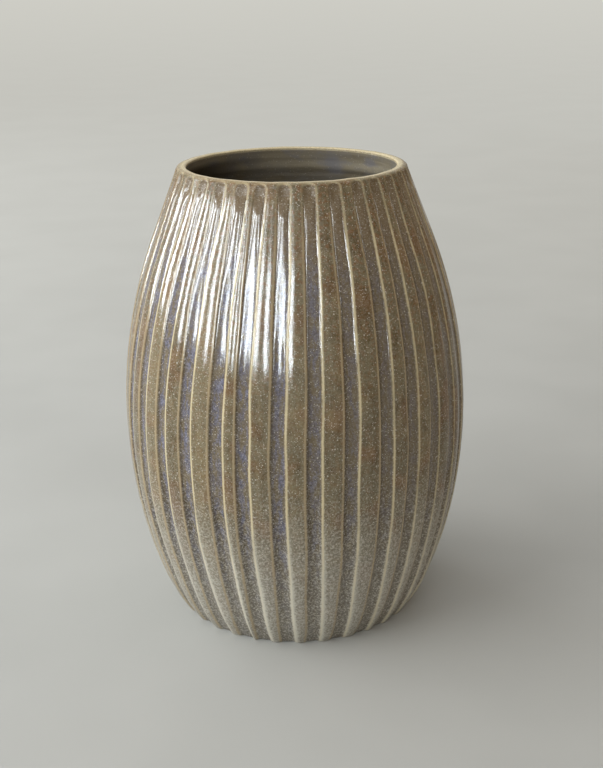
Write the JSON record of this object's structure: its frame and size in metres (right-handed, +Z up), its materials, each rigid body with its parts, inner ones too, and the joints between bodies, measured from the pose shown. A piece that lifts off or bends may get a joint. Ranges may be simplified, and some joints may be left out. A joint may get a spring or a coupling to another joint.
{
  "type": "fluted vase",
  "caption": "Round stoneware vase with a full belly, a wide open mouth and hand-cut vertical flutes that hold pooled glaze.",
  "frame": {"origin": "centre of the foot, on the surface the vase stands on", "axes": "+Z up the vase's axis to the mouth, -Y towards the viewer of the picture; it is round, so X and Y are free"},
  "size_m": [0.1672, 0.1673, 0.22],
  "materials": {
    "stoneware": "thrown stoneware under a thin satin taupe glaze film that breaks to cream on the edges; bare under the foot",
    "pooled_glaze": "glossy blue-grey glaze, thick where it pooled"
  },
  "bodies": {
    "root": {"stoneware_body": "stoneware", "flute_glaze": "pooled_glaze"}
  },
  "joints": []
}
